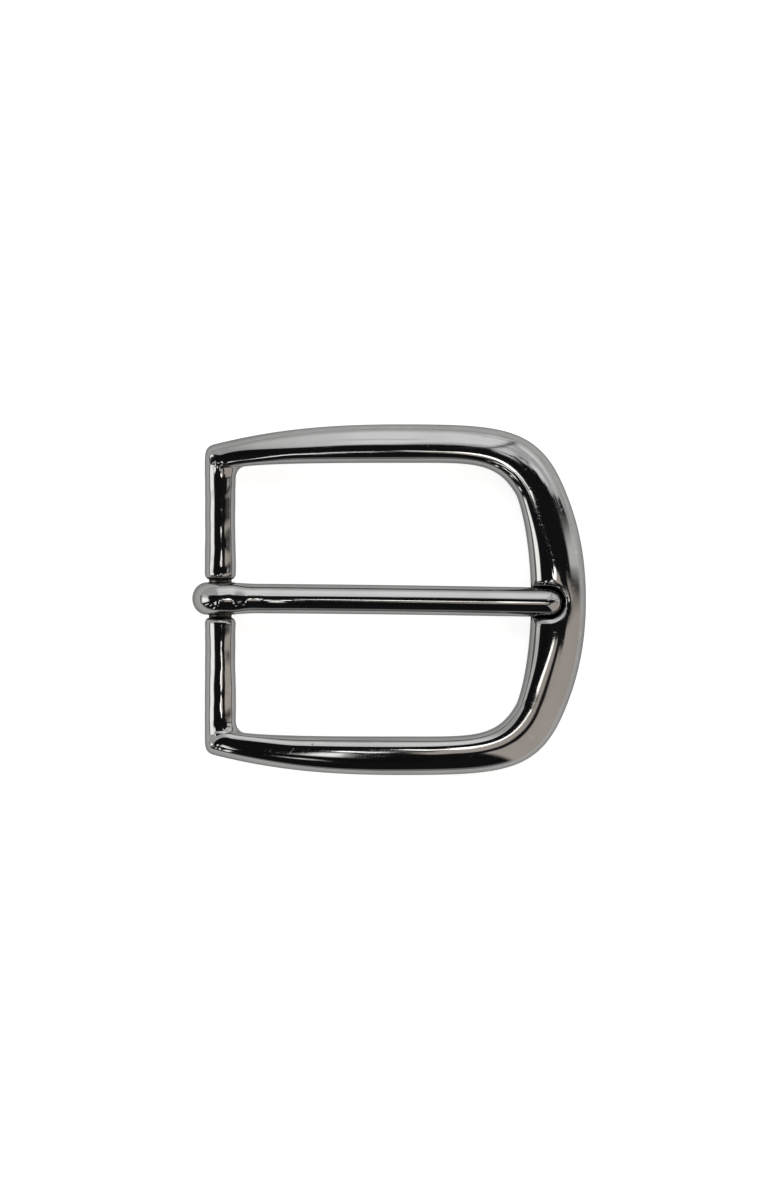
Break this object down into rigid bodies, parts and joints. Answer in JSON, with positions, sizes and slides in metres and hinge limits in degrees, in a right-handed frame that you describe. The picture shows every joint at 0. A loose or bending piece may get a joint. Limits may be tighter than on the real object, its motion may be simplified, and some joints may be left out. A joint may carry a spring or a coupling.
{
  "type": "belt buckle",
  "caption": "D-shaped frame-style belt buckle with a straight heel bar and a swinging prong that rests in a seat in the rounded bow.",
  "frame": {"origin": "on the heel bar's axis, halfway along it", "axes": "+X from the heel bar to the bow, +Y along the heel bar, +Z out of the front face"},
  "size_m": [0.052, 0.0462, 0.0074],
  "materials": {
    "nickel_frame": "polished dark nickel plate on cast metal",
    "nickel_bar": "polished dark nickel plate, lightly rippled",
    "nickel_prong": "polished dark nickel plate on bent rod"
  },
  "bodies": {
    "frame": {"frame": "nickel_frame", "heel_bar": "nickel_bar"},
    "prong": {"prong": "nickel_prong"}
  },
  "joints": [
    {"name": "prong_hinge", "type": "hinge", "parent": "frame", "child": "prong", "pos_m": [0, 0, 0], "axis": [0, -1, 0], "range_deg": [0, 180]}
  ]
}
